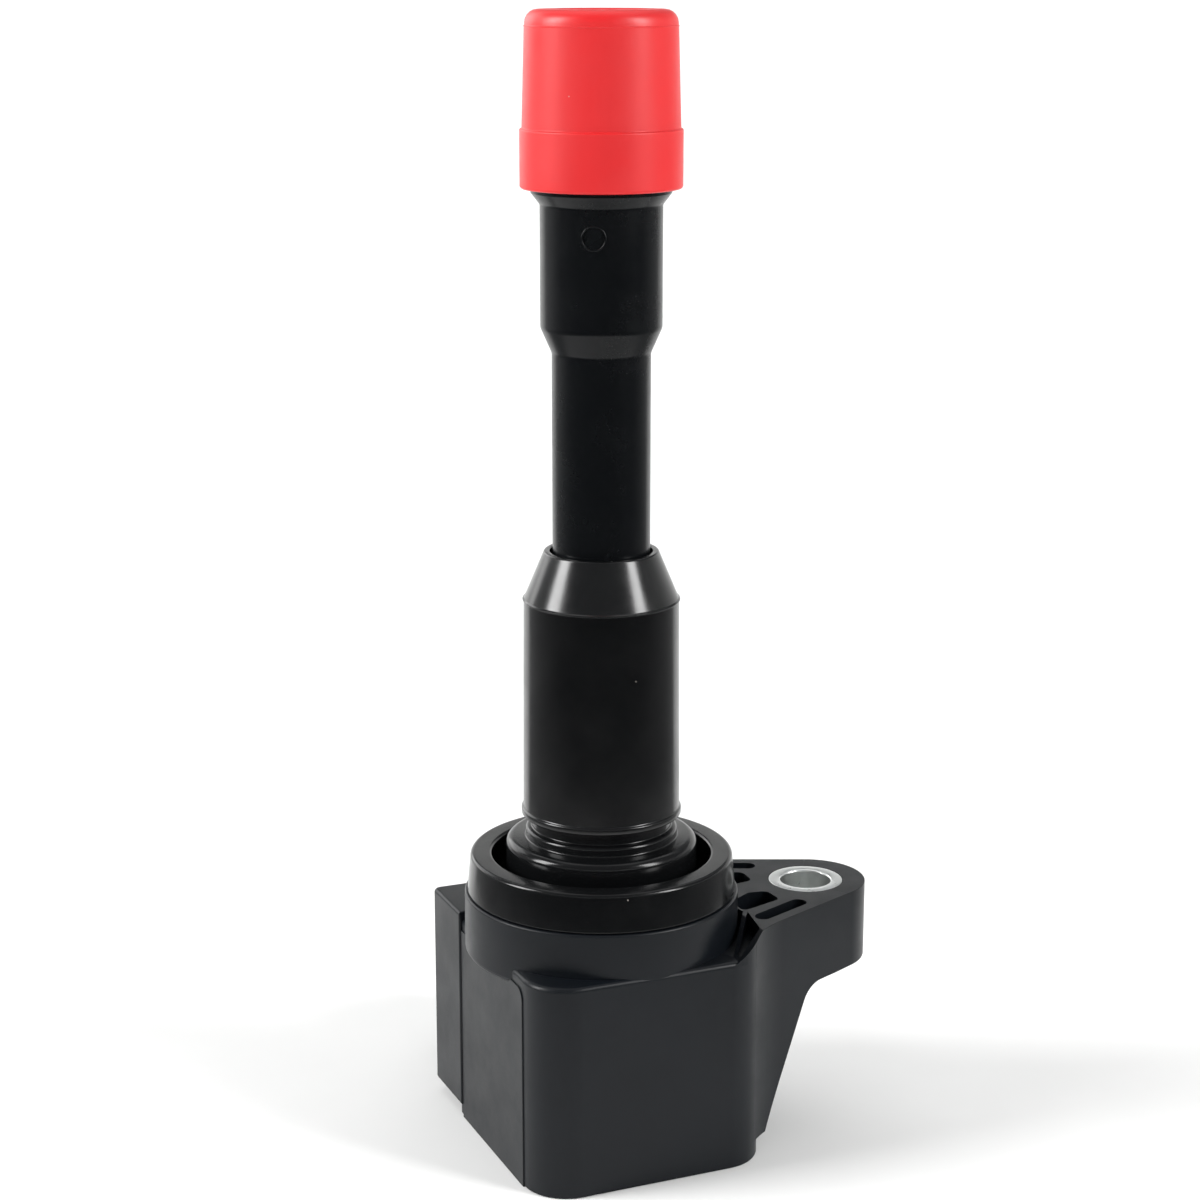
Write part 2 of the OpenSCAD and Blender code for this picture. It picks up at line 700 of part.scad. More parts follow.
// Round wire wound from the resistor's cap up to the plug contact
module contact_spring() {
    sides = 8;
    per_turn = 12;
    rings = spring_turns * per_turn;
    z0 = spring_z + wire_r;
    z1 = contact_seat_z - wire_r;
    // Both ends lie nearly flat: the rise eases in and out over one turn
    ease = 1 / spring_turns;
    function rise(t) = t < ease ? t * t / (2 * ease)
                     : t > 1 - ease ? 1 - ease - (1 - t) * (1 - t) / (2 * ease)
                     : t - ease / 2;
    function height(t) = z0 + (z1 - z0) * rise(t) / (1 - ease);
    function spring_point(i, k) = let (a = 360 * i / per_turn, b = 360 * k / sides, r = spring_r + wire_r * cos(b))
        [r * cos(a), r * sin(a), height(i / rings) + wire_r * sin(b)];
    points = [for (i = [0:rings], k = [0:sides - 1]) spring_point(i, k)];
    walls = [for (i = [0:rings - 1], k = [0:sides - 1])
        let (a = i * sides + k, b = i * sides + (k + 1) % sides) [a, a + sides, b + sides, b]];
    ends = [[for (k = [0:sides - 1]) k], [for (k = [sides - 1:-1:0]) rings * sides + k]];
    color(STEEL) polyhedron(points, concat(walls, ends));
}

// Cap that the plug's terminal presses on, held below the lip of the stem's bore
module plug_contact() {
    color(BRASS) difference() {
        union() {
            translate([0, 0, contact_seat_z + fit_gap]) cylinder(h = lip_z - contact_seat_z - 2 * fit_gap, r = contact_r);
            translate([0, 0, contact_seat_z - 4]) cylinder(h = 4.5, r = spring_r - wire_r - slip_gap);
        }
        translate([0, 0, lip_z - 1.4]) cylinder(h = 2, r1 = 1.2, r2 = 3.4);
    }
}

case();
mount_bushing();
potting();
seal_grommet();
barrel_sleeve();
stem_tube();
boot_tip();
centre_core();
outer_core();
core_magnet();
primary_bobbin();
primary_winding();
secondary_bobbin();
secondary_winding();
primary_leads();
igniter_module();
igniter_heat_spreader();
terminal_holder();
supply_terminal();
ground_terminal();
trigger_terminal();
hv_diode();
hv_terminal();
resistor_rod();
resistor_caps();
contact_spring();
plug_contact();
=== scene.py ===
from math import atan2, cos, pi, radians, sin, sqrt, tan

import bmesh
import bpy
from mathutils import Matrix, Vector


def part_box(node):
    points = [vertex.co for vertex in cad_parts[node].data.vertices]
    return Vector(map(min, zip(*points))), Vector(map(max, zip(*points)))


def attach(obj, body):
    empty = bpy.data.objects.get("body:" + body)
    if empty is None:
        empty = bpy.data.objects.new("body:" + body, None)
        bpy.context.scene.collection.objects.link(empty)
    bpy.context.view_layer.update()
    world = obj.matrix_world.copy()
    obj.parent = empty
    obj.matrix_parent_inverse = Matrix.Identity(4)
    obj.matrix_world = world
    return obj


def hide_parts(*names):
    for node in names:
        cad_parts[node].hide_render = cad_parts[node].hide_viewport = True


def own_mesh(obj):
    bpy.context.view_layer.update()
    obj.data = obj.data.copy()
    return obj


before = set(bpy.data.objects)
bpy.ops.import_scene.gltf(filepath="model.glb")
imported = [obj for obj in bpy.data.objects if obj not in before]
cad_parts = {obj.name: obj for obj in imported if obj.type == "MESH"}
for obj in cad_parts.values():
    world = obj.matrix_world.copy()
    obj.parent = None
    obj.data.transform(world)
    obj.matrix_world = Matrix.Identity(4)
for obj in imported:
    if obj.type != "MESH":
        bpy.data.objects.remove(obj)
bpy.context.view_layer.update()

bpy.ops.object.select_all(action="DESELECT")

# ---------------------------------------------------------------------------
# Camera: a long lens that looks 14 degrees down on the coil, turned 23 degrees
# towards the left wall of the head.
look_down = radians(14)
look_turn = radians(23)
camera_distance = 0.3355
aim = Vector((-0.00016, 0.00007, 0.0753))

camera = bpy.data.objects.new("camera", bpy.data.cameras.new("camera"))
bpy.context.scene.collection.objects.link(camera)
camera.data.lens = 76.5
camera.data.sensor_width = 36
back_to_camera = Vector((-sin(look_turn) * cos(look_down), -cos(look_turn) * cos(look_down), sin(look_down)))
camera.location = aim + camera_distance * back_to_camera
camera.rotation_euler = (pi / 2 - look_down, 0, -look_turn)
bpy.context.scene.camera = camera

# ---------------------------------------------------------------------------
# Studio: a pale paper sweep, flat under the coil and curling up all round it, with a
# tall softbox on each side, a low one behind on the left and a broad one overhead.


def add_node(material, kind, settings=None, links=None):
    """Adds a node. settings are its own values or its inputs' values, links are input: output."""
    node = material.node_tree.nodes.new(kind)
    for key, value in (settings or {}).items():
        if isinstance(key, str) and hasattr(node, key):
            setattr(node, key, value)
        else:
            node.inputs[key].default_value = value
    for key, output in (links or {}).items():
        material.node_tree.links.new(output, node.inputs[key])
    return node


def linear(code):
    """Turns an sRGB hex colour into linear RGBA."""
    parts = [int(code[i:i + 2], 16) / 255 for i in (1, 3, 5)]
    return [p / 12.92 if p <= 0.04045 else ((p + 0.055) / 1.055) ** 2.4 for p in parts] + [1]


def new_material(name):
    material = bpy.data.materials.new(name)
    material.use_nodes = True
    material.node_tree.nodes.clear()
    return material


def give(piece, material):
    """Puts one material all over a piece."""
    if not piece.data.materials:
        piece.data.materials.append(material)
    for index in range(len(piece.data.materials)):
        piece.data.materials[index] = material


# Matte background paper. It is see-through from below, so the coil's foot can be looked at
paper = new_material("matte_paper")
spot = add_node(paper, "ShaderNodeTexCoord")
fibre = add_node(paper, "ShaderNodeTexNoise", {"Scale": 60, "Detail": 4},
                 {"Vector": spot.outputs["Object"]})
tone = add_node(paper, "ShaderNodeMix", {"data_type": "RGBA", 6: linear("#EFEFEE"), 7: linear("#F4F4F3")},
                {0: fibre.outputs["Fac"]})
white = add_node(paper, "ShaderNodeBsdfDiffuse", links={"Color": tone.outputs[2]})
clear = add_node(paper, "ShaderNodeBsdfTransparent")
facing = add_node(paper, "ShaderNodeNewGeometry")
surface = add_node(paper, "ShaderNodeMixShader",
                   links={0: facing.outputs["Backfacing"], 1: white.outputs[0], 2: clear.outputs[0]})
add_node(paper, "ShaderNodeOutputMaterial", links={"Surface": surface.outputs[0]})

flat_radius = 1.1
curl_radius = 1.3
curl_steps = 12
curl_end = radians(75)

bpy.ops.mesh.primitive_circle_add(vertices=96, radius=flat_radius, fill_type="NGON")
sweep = bpy.context.object
sweep.name = "paper_sweep"
bpy.ops.object.mode_set(mode="EDIT")
bpy.ops.mesh.select_all(action="SELECT")
for step in range(curl_steps):
    before = curl_end * step / curl_steps
    after = curl_end * (step + 1) / curl_steps
    lift = curl_radius * (cos(before) - cos(after))
    bpy.ops.mesh.extrude_edges_move(TRANSFORM_OT_translate={"value": (0, 0, lift)})
    wider = (flat_radius + curl_radius * sin(after)) / (flat_radius + curl_radius * sin(before))
    bpy.ops.transform.resize(value=(wider, wider, 1), center_override=(0, 0, 0))
bpy.ops.mesh.select_all(action="SELECT")
bpy.ops.mesh.normals_make_consistent(inside=True)
bpy.ops.object.mode_set(mode="OBJECT")
bpy.ops.object.shade_smooth()
give(sweep, paper)


def from_coil(azimuth, elevation, distance):
    """A place in the studio. Azimuth is in degrees from the camera's side, to the right."""
    turn = radians(azimuth) - look_turn
    rise = radians(elevation)
    return distance * Vector((sin(turn) * cos(rise), -cos(turn) * cos(rise), sin(rise)))


def softbox(name, place, aim, width, height, radiance):
    """An area light at a place, facing an aim."""
    light = bpy.data.lights.new(name, "AREA")
    light.shape = "RECTANGLE"
    light.size = width
    light.size_y = height
    light.energy = radiance * pi * width * height
    lamp = bpy.data.objects.new(name, light)
    bpy.context.scene.collection.objects.link(lamp)
    lamp.location = place
    lamp.rotation_euler = (place - aim).to_track_quat("Z", "Y").to_euler()
    lamp.visible_camera = False


middle = Vector((0, 0, 0.06))
backdrop = from_coil(180, 10, 1.9)
softbox("softbox_left", middle + from_coil(-79, 28, 1.4), middle, 0.48, 0.8, 17.5)
softbox("softbox_right", middle + from_coil(64, 28, 1.4), middle, 0.36, 0.8, 17.5)
softbox("softbox_back_left", middle + from_coil(-138, 20, 1.6), middle, 1.0, 0.9, 2.2)
softbox("overhead", middle + from_coil(180, 72, 1.6), middle, 1.6, 1.6, 0.85)
softbox("backdrop_light", backdrop + from_coil(0, 45, 1.2), backdrop, 2.4, 0.5, 3.0)


def pick(piece):
    """Makes one piece the active one, with nothing else selected."""
    bpy.ops.object.select_all(action="DESELECT")
    piece.select_set(True)
    bpy.context.view_layer.objects.active = piece


def edit(piece):
    """Opens one piece in edit mode, with nothing else selected."""
    pick(piece)
    bpy.ops.object.mode_set(mode="EDIT")


def pick_faces(piece, wanted):
    """Selects the open piece's faces that pass the test wanted(centre, normal)."""
    bpy.ops.mesh.select_mode(type="FACE")
    bpy.ops.mesh.select_all(action="DESELECT")
    shape = bmesh.from_edit_mesh(piece.data)
    for face in shape.faces:
        face.select_set(wanted(face.calc_center_median(), face.normal))
    bmesh.update_edit_mesh(piece.data)


# Black card lying round the front and sides of the coil, paler towards the back and seen
# only as a reflection: it keeps the black pieces dark and leaves the paper pale
card_black = new_material("black_card")
spot = add_node(card_black, "ShaderNodeTexCoord")
fibre = add_node(card_black, "ShaderNodeTexNoise", {"Scale": 200, "Detail": 3},
                 {"Vector": spot.outputs["Object"]})
black = add_node(card_black, "ShaderNodeMix",
                 {"data_type": "RGBA", 6: linear("#0A0A0B"), 7: linear("#101011")},
                 {0: fibre.outputs["Fac"]})
side = add_node(card_black, "ShaderNodeSeparateXYZ", links={0: spot.outputs["Object"]})
fade = add_node(card_black, "ShaderNodeMapRange", {"From Min": -0.15, "From Max": 0.3},
                {"Value": side.outputs["Y"]})
tone = add_node(card_black, "ShaderNodeMix", {"data_type": "RGBA", 7: linear("#A0A0A0")},
                {0: fade.outputs[0], 6: black.outputs[2]})
dull = add_node(card_black, "ShaderNodeBsdfDiffuse", links={"Color": tone.outputs[2]})
add_node(card_black, "ShaderNodeOutputMaterial", links={"Surface": dull.outputs[0]})
card_near, card_reach = 0.13, 132
card_lift = 0.001
bpy.ops.mesh.primitive_circle_add(vertices=120, radius=card_near, location=(0, 0, card_lift),
                                  rotation=(0, 0, -look_turn))
card = bpy.context.object
card.name = "black_card"
edit(card)
bpy.ops.mesh.select_all(action="SELECT")
reach = card_near
for card_far, lift in ((flat_radius, 0), (flat_radius + 0.6, 0.18)):
    bpy.ops.mesh.extrude_edges_move(TRANSFORM_OT_translate={"value": (0, 0, lift)})
    bpy.ops.transform.resize(value=(card_far / reach, card_far / reach, 1), center_override=(0, 0, card_lift))
    reach = card_far
pick_faces(card, lambda centre, normal: centre.y > -cos(radians(card_reach)) * centre.xy.length)
bpy.ops.mesh.delete(type="FACE")
bpy.ops.object.mode_set(mode="OBJECT")
card.visible_camera = False
card.visible_diffuse = False
card.visible_shadow = False
give(card, card_black)

room = bpy.data.worlds.new("room")
bpy.context.scene.world = room
room.use_nodes = True
room.node_tree.nodes["Background"].inputs["Color"].default_value = linear("#F2F4F6")
room.node_tree.nodes["Background"].inputs["Strength"].default_value = 0.26
bpy.context.scene.view_settings.view_transform = "Standard"

# ---------------------------------------------------------------------------
# Case: one injection moulding in black glass-filled PBT. It is the head's box with the
# mounting ear, the collar for the seal, the connector's socket and the hidden tower
# that the rubber parts are pushed over. Sizes are in millimetres up to scale_down.


def box_mm(node):
    """Lowest and highest corner of a CAD node, in millimetres."""
    return [1000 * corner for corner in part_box(node)]


def rounded(corners, steps=6):
    """Points of a closed outline. A corner is (a, b), or (a, b, radius) where it is round."""
    points = []
    for index, corner in enumerate(corners):
        here = Vector(corner[:2])
        if len(corner) < 3:
            points.append(here)
            continue
        radius = corner[2]
        to_last = (Vector(corners[index - 1][:2]) - here).normalized()
        to_next = (Vector(corners[(index + 1) % len(corners)][:2]) - here).normalized()
        half = to_last.angle(to_next) / 2
        centre = here + (to_last + to_next).normalized() * radius / sin(half)
        first = here + to_last * radius / tan(half) - centre
        bend = pi - 2 * half
        if to_last.cross(to_next) > 0:
            bend = -bend
        start = atan2(first.y, first.x)
        for step in range(steps + 1):
            angle = start + bend * step / steps
            points.append(centre + radius * Vector((cos(angle), sin(angle))))
    return points


def arc(centre, radius, start, end, steps=16):
    """Points along an arc, with its angles in radians."""
    angles = [start + (end - start) * step / steps for step in range(steps + 1)]
    return [Vector(centre) + radius * Vector((cos(a), sin(a))) for a in angles]


def face_outwards():
    """Recalculates the open mesh's normals and closes edit mode."""
    bpy.ops.mesh.select_all(action="SELECT")
    bpy.ops.mesh.normals_make_consistent(inside=False)
    bpy.ops.object.mode_set(mode="OBJECT")


def plate(outline, low, high, along="Z"):
    """A closed outline extruded from low to high along an axis."""
    bpy.ops.mesh.primitive_circle_add(vertices=len(outline), fill_type="NGON")
    piece = bpy.context.object
    for vertex, (a, b) in zip(piece.data.vertices, outline):
        vertex.co = {"X": (low, a, b), "Y": (a, low, b), "Z": (a, b, low)}[along]
    run = Vector((along == "X", along == "Y", along == "Z")) * (high - low)
    edit(piece)
    bpy.ops.mesh.select_all(action="SELECT")
    bpy.ops.mesh.extrude_region_move(TRANSFORM_OT_translate={"value": run})
    face_outwards()
    return piece


def cylinder(centre, radius, low, high, sides):
    """An upright cylinder from low to high, to cut with."""
    return plate(arc(centre, radius, 0, 2 * pi * (sides - 1) / sides, sides - 1), low, high)


def block(low, high, radius=0):
    """A plate with square or evenly rounded upright corners, from its two opposite corners."""
    corners = [(low[0], low[1]), (high[0], low[1]), (high[0], high[1]), (low[0], high[1])]
    if radius:
        corners = [corner + (radius,) for corner in corners]
    return plate(rounded(corners), low[2], high[2])


def turned(outline, sides=128):
    """A closed outline of (radius, height) points spun round Z."""
    bpy.ops.mesh.primitive_circle_add(vertices=len(outline), fill_type="NOTHING")
    piece = bpy.context.object
    for vertex, (radius, height) in zip(piece.data.vertices, outline):
        vertex.co = (radius, 0, height)
    edit(piece)
    bpy.ops.mesh.select_all(action="SELECT")
    bpy.ops.mesh.spin(steps=sides, angle=2 * pi, center=(0, 0, 0), axis=(0, 0, 1))
    bpy.ops.mesh.select_all(action="SELECT")
    bpy.ops.mesh.remove_doubles(threshold=0.001)
    bpy.ops.mesh.delete_loose()
    face_outwards()
    return piece


def pick_edges(piece, wanted):
    """Opens a piece and selects its edges whose two ends a, b pass the test wanted(a, b)."""
    edit(piece)
    bpy.ops.mesh.select_mode(type="EDGE")
    bpy.ops.mesh.select_all(action="DESELECT")
    shape = bmesh.from_edit_mesh(piece.data)
    for edge in shape.edges:
        edge.select_set(wanted(edge.verts[0].co, edge.verts[1].co))
    bmesh.update_edit_mesh(piece.data)


def round_edges(piece, wanted, radius, steps=3):
    """Rounds the edges whose two ends pass a test."""
    pick_edges(piece, wanted)
    bpy.ops.mesh.bevel(offset=radius, segments=steps, profile=0.5, clamp_overlap=True)
    face_outwards()


def both_at(axis, place, near=0.01):
    """A test for edges whose two ends lie at one place along an axis."""
    return lambda a, b: abs(a[axis] - place) < near and abs(b[axis] - place) < near


def combine(piece, other, operation):
    """Adds, cuts away or keeps only what another piece covers, and uses that piece up."""
    modifier = piece.modifiers.new(operation, "BOOLEAN")
    modifier.operation = operation
    modifier.object = other
    pick(piece)
    bpy.ops.object.modifier_apply(modifier=operation)
    bpy.data.objects.remove(other)


def scale_down(piece, name, smooth_angle=35):
    """Turns a piece modelled in millimetres into metres, names it and smooths its soft edges."""
    piece.name = name
    piece.data.name = name
    pick(piece)
    piece.scale = (0.001, 0.001, 0.001)
    bpy.ops.object.transform_apply(location=True, rotation=True, scale=True)
    bpy.ops.object.shade_smooth_by_angle(angle=radians(smooth_angle))
    flatten = piece.modifiers.new("flat_faces", "WEIGHTED_NORMAL")
    flatten.keep_sharp = True
    bpy.ops.object.modifier_apply(modifier=flatten.name)


case_high = box_mm("case")[1]
seal_low, seal_high = box_mm("seal_grommet")
bush_low, bush_high = box_mm("mount_bushing")
left, right, front, rear = 16.35, 17, 18.52, 21.4
head_top = seal_low.z
rear_top = head_top + 1
rear_start = 10.5
rear_foot = 1.8
wall = 2
roof = head_top - 2.6
corner = 6

# Front box, with the taller rear box and the raised panel on the left wall
case = plate(rounded([(-left, -front, corner), (right, -front, corner), (right, rear_start + 1),
                      (-left, rear_start + 1)], steps=12), 0, head_top)
round_edges(case, both_at(2, head_top), 0.7, 5)
round_edges(case, both_at(2, 0), 0.3, 2)
rear_box = plate(rounded([(-left - 0.4, rear_start), (right + 0.03, rear_start), (right + 0.03, rear, 1),
                          (-left - 0.4, rear, 1)]), rear_foot, rear_top)
round_edges(rear_box, both_at(2, rear_top), 0.5, 4)
round_edges(rear_box, both_at(2, rear_foot), 0.3, 2)
round_edges(rear_box, lambda a, b: both_at(0, -left - 0.4)(a, b) and both_at(1, rear_start)(a, b), 0.25, 3)
combine(case, rear_box, "UNION")
panel = plate(rounded([(corner - front, 0), (rear_start - 0.04, 0), (rear_start - 0.04, head_top - 1.6),
                       (corner - front, head_top - 1.6, 1.6)]), -left - 0.18, -left + 1, "X")
round_edges(panel, both_at(0, -left - 0.18), 0.1, 2)
combine(case, panel, "UNION")

# Collar: it hangs a little over the left wall
collar_top = head_top + 6
collar_r = 18.45
collar_foot = head_top - 2.4
seat_r = 16.7
collar = turned(rounded([(15, collar_foot), (collar_r + 0.05, collar_foot, 0.8), (collar_r, collar_top, 0.3),
                         (seat_r, collar_top, 0.25), (seat_r, head_top), (15, head_top)], steps=4), 256)
combine(case, collar, "UNION")

# Mounting ear: two straight sides that run into a round tip, over a gusset with a filleted slope
bolt_x = (bush_low.x + bush_high.x) / 2
ear_top = bush_high.z
ear_foot = bush_low.z
tip_r = 7.78
tip = Vector((case_high.x - tip_r - 0.01, 0))
taper = radians(23)
across = Vector((sin(taper), -cos(taper)))
along = Vector((cos(taper), sin(taper)))
knuckle = Vector((right - corner, corner - front))
blend_r = 20
reach = across.dot(tip) + tip_r + blend_r - across.dot(knuckle)
blend = knuckle + reach * across + sqrt((corner + blend_r) ** 2 - reach ** 2) * along
to_blend = (blend - knuckle).normalized()
near_side = tip + tip_r * across
inner_x = right - 6.5
far_root = (inner_x, -near_side.y + (near_side.x - inner_x) * tan(taper))
blend_from = atan2(across.y, across.x) + pi
blend_to = atan2(-to_blend.y, -to_blend.x)
corner_from = atan2(to_blend.y, to_blend.x)
ear_plan = (arc(tip, tip_r, pi / 2 - taper, taper - pi / 2, 28)
            + arc(blend, blend_r, blend_from, blend_to, 14)
            + arc(knuckle, corner - 0.02, corner_from, -pi / 2 - 0.03, 14) + [knuckle, Vector(far_root)])
slope = radians(24.3)
slope_x = right + 1 + (ear_foot - 2.4) * tan(slope)
ear_side = rounded([(inner_x, 2.4), (right + 1, 2.4), (slope_x, ear_foot, 3.5), (tip.x + 10, ear_foot),
                    (tip.x + 10, ear_top), (right - 0.2, ear_top), (inner_x, head_top - 0.8)], steps=10)
ear = plate(ear_plan, 1, ear_top)
combine(ear, plate(ear_side, -20, 20, "Y"), "INTERSECT")
round_edges(ear, both_at(2, ear_top), 0.35, 3)
round_edges(ear, lambda a, b: both_at(2, ear_foot)(a, b) and min(a.x, b.x) > slope_x + 2.5, 0.6, 3)


def pocket(outline, floor, rim=0.25):
    """A pocket to cut in the ear's top, a little wider at its rim."""
    cutter = plate(outline, floor, ear_top - rim)
    edit(cutter)
    pick_faces(cutter, lambda centre, normal: normal.z > 0.9)
    bpy.ops.mesh.extrude_region_move(TRANSFORM_OT_translate={"value": (0, 0, rim)})
    bpy.ops.mesh.inset(thickness=rim * 0.6, use_outset=True)
    bpy.ops.mesh.extrude_region_move(TRANSFORM_OT_translate={"value": (0, 0, 1)})
    face_outwards()
    return cutter


def mirrored(outline, side):
    """The outline, or its mirror image across the ear's centre line."""
    return [Vector((p[0], side * p[1])) for p in outline]


slot_w = 2.3
slot_len = 0.31 * bolt_x
slot_corner = Vector((right - 1, (tip.x - right + 0.2) * -tan(taper))) + (tip_r - 1.3) * across
slot_run = along * slot_len
slot_in = -across * slot_w
slot = [slot_corner, slot_corner + slot_run, slot_corner + slot_run + slot_in, slot_corner + slot_in]
slot = rounded([(p.x, p.y, slot_w * 0.49) for p in slot])
inner = rounded([(right + 0.5, -8.0, 0.8), (right + 0.7, -4.0, 1.0), (right + 4.2, -1.9, 1.2),
                 (right + 6.9, -2.3, 1.0), (right + 7.1, -5.8, 1.0)])
pocket_floor = ear_top - 8
for side in (1, -1):
    combine(ear, pocket(mirrored(slot, side), pocket_floor), "DIFFERENCE")
    combine(ear, pocket(mirrored(inner, side), pocket_floor), "DIFFERENCE")

# Between the collar and its near skin the ear is open down to the roof, but for one thin rib
rib_from = Vector((right + 0.45, -8.1))
rib_to = Vector((right - 5, -16.4))
rib_w = Vector((0.5, -0.3))
beside = [(inner_x - 3, 0), (right - 0.2, -5), tuple(rib_from), tuple(rib_to), (inner_x - 3, -18)]
beyond = [tuple(rib_from + rib_w), (right - 0.2, -14.5, 0.4), (right - 4.7, -17.6, 0.2),
          tuple(rib_to + rib_w)]
combine(ear, plate(rounded(beside), head_top, 40), "DIFFERENCE")
combine(ear, plate(rounded(beyond), head_top, 40), "DIFFERENCE")
combine(case, ear, "UNION")

# Connector: a socket with round corners, a latch ramp and two guide rails on top
socket_z = 0.47 * head_top
socket_w, socket_h = 15.6, 10.6
socket_wall = 1.6
mouth = case_high.y
socket_floor = rear + 2


def socket_outline(width, height, radius):
    corners = [(-1, -1), (1, -1), (1, 1), (-1, 1)]
    return rounded([(a * width / 2, socket_z + b * height / 2, radius) for a, b in corners])


socket_out = socket_outline(socket_w + 2 * socket_wall, socket_h + 2 * socket_wall, 2.4)
socket = plate(socket_out, rear - 1, mouth, "Y")
round_edges(socket, both_at(1, mouth), 0.35, 3)
combine(case, socket, "UNION")
socket_top = socket_z + socket_h / 2 + socket_wall
ramp_side = 2.5
ramp = plate(rounded([(mouth - 6, socket_top - 0.5), (mouth - 6, socket_top + 1.6, 0.2),
                      (mouth - 5, socket_top + 1.6, 0.4), (mouth - 1, socket_top - 0.3)], steps=3),
             -ramp_side, ramp_side, "X")
round_edges(ramp, lambda a, b: both_at(0, -ramp_side)(a, b) or both_at(0, ramp_side)(a, b), 0.2, 2)
combine(case, ramp, "UNION")
for x in (-5, 5):
    rail = block((x - 0.6, rear - 0.5, socket_top - 0.4), (x + 0.6, mouth - 2, socket_top + 1), 0.3)
    round_edges(rail, both_at(2, socket_top + 1), 0.25, 2)
    combine(case, rail, "UNION")
hollow = plate(socket_outline(socket_w, socket_h, 1.2), socket_floor, mouth - 0.3, "Y")
edit(hollow)
pick_faces(hollow, lambda centre, normal: normal.y > 0.9)
bpy.ops.mesh.extrude_region_move(TRANSFORM_OT_translate={"value": (0, 0.4, 0)})
bpy.ops.transform.resize(value=(1.05, 1, 1.075), center_override=(0, 0, socket_z))
face_outwards()
combine(case, hollow, "DIFFERENCE")

# Tower inside the rubber parts, and what is hollow: the room for the coil, the bores and the slots
over_seal = 16.17
tower_top = seal_high.z + over_seal
tower_out, tower_bore = 7.6, 3.7
tower = turned(rounded([(3, roof + 0.5), (tower_out, roof + 0.5), (tower_out, tower_top, 0.5),
                        (3, tower_top)]), 96)
combine(case, tower, "UNION")
room_outline = rounded([(wall - left, wall - front, corner - wall), (right - wall, wall - front, corner - wall),
                        (right - wall, rear - wall, 1), (wall - left, rear - wall, 1)], steps=10)
combine(case, plate(room_outline, -1, roof), "DIFFERENCE")
combine(case, cylinder((0, 0), tower_bore, roof - 1, tower_top + 1, 64), "DIFFERENCE")
combine(case, cylinder((bolt_x, 0), (bush_high.x - bush_low.x) / 2 + 0.05, 15, 40, 96), "DIFFERENCE")
blade_pitch = 5
for x in (-blade_pitch, 0, blade_pitch):
    blade_slot = block((x - 1.2, rear - wall - 0.5, socket_z - 0.37),
                       (x + 1.2, socket_floor + 0.5, socket_z + 0.37))
    combine(case, blade_slot, "DIFFERENCE")


def on_collar_foot(point):
    """Whether a point lies on the circle where the collar leaves the roof."""
    return abs(point.xy.length - collar_r) < 0.07 and point.z < head_top + 0.05


# The line where the collar meets the roof and walls stays sharp, so that both shade cleanly
pick_edges(case, lambda a, b: on_collar_foot(a) and on_collar_foot(b))
bpy.ops.mesh.mark_sharp()
bpy.ops.object.mode_set(mode="OBJECT")
scale_down(case, "case_moulding")


def moulded_finish(name, dark, light, roughness, grain, relief, dust, specular=0.3, soft=0):
    """A moulded surface: slow changes of tone, smudges in the gloss, fine mould grain and
    specks of dust. grain is the texture's size and relief its depth, in millimetres, and
    dust the share of 4 mm cells that hold a speck."""
    material = new_material(name)
    spot = add_node(material, "ShaderNodeTexCoord")
    flow = add_node(material, "ShaderNodeTexNoise", {"Scale": 1000 / 14, "Detail": 3},
                    {"Vector": spot.outputs["Object"]})
    body = add_node(material, "ShaderNodeMix", {"data_type": "RGBA", 6: linear(dark), 7: linear(light)},
                    {0: flow.outputs["Fac"]})
    cell = add_node(material, "ShaderNodeTexVoronoi", {"Scale": 1000 / 4},
                    {"Vector": spot.outputs["Object"]})
    near = add_node(material, "ShaderNodeMath", {"operation": "LESS_THAN", 1: 0.028},
                    {0: cell.outputs["Distance"]})
    pick_cell = add_node(material, "ShaderNodeSeparateColor", links={0: cell.outputs["Color"]})
    lucky = add_node(material, "ShaderNodeMath", {"operation": "LESS_THAN", 1: dust},
                     {0: pick_cell.outputs[0]})
    speck = add_node(material, "ShaderNodeMath", {"operation": "MULTIPLY"},
                     {0: near.outputs[0], 1: lucky.outputs[0]})
    thin = add_node(material, "ShaderNodeMath", {"operation": "MULTIPLY", 1: 0.45}, {0: speck.outputs[0]})
    dusty = add_node(material, "ShaderNodeMix", {"data_type": "RGBA", 7: linear("#B9B4AC")},
                     {0: thin.outputs[0], 6: body.outputs[2]})
    smudge = add_node(material, "ShaderNodeTexNoise", {"Scale": 1000 / 9, "Detail": 5, "Roughness": 0.65},
                      {"Vector": spot.outputs["Object"]})
    gloss = add_node(material, "ShaderNodeMapRange",
                     {"From Min": 0.3, "From Max": 0.7, "To Min": roughness - 0.05, "To Max": roughness + 0.07},
                     {"Value": smudge.outputs["Fac"]})
    pits = add_node(material, "ShaderNodeTexNoise", {"Scale": 1000 / grain, "Detail": 2},
                    {"Vector": spot.outputs["Object"]})
    skin = add_node(material, "ShaderNodeBump", {"Strength": 1, "Distance": relief / 1000},
                    {"Height": pits.outputs["Fac"]})
    shader = add_node(material, "ShaderNodeBsdfPrincipled",
                      {"Specular IOR Level": specular, "Subsurface Weight": soft, "Subsurface Scale": 0.0015},
                      {"Base Color": dusty.outputs[2], "Roughness": gloss.outputs[0], "Normal": skin.outputs[0]})
    add_node(material, "ShaderNodeOutputMaterial", links={"Surface": shader.outputs[0]})
    return material


